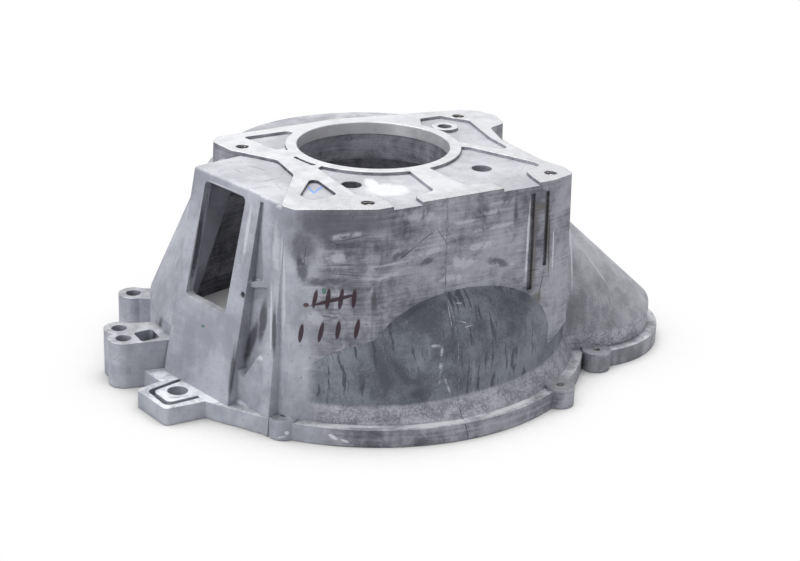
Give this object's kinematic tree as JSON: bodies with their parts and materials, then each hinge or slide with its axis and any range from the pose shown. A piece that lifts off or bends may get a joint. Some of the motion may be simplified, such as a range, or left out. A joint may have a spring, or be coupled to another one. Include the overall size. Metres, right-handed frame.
{
  "type": "bellhousing",
  "caption": "Die-cast aluminium bellhousing with a round bell, a boxed front half, a fork window, a side starter lobe and a machined gearbox face with a large bore.",
  "frame": {"origin": "on the shaft axis, in the engine face that the casting rests on", "axes": "+Z along the shaft axis from the engine face to the gearbox face, +X to the starter lobe, +Y to the side that faces up in the car"},
  "size_m": [0.4689, 0.3864, 0.18],
  "materials": {
    "cast_aluminium": "as cast, dull blue-grey with oil marks, machined bands bright satin"
  },
  "bodies": {
    "root": {"housing_casting": "cast_aluminium"}
  },
  "joints": []
}
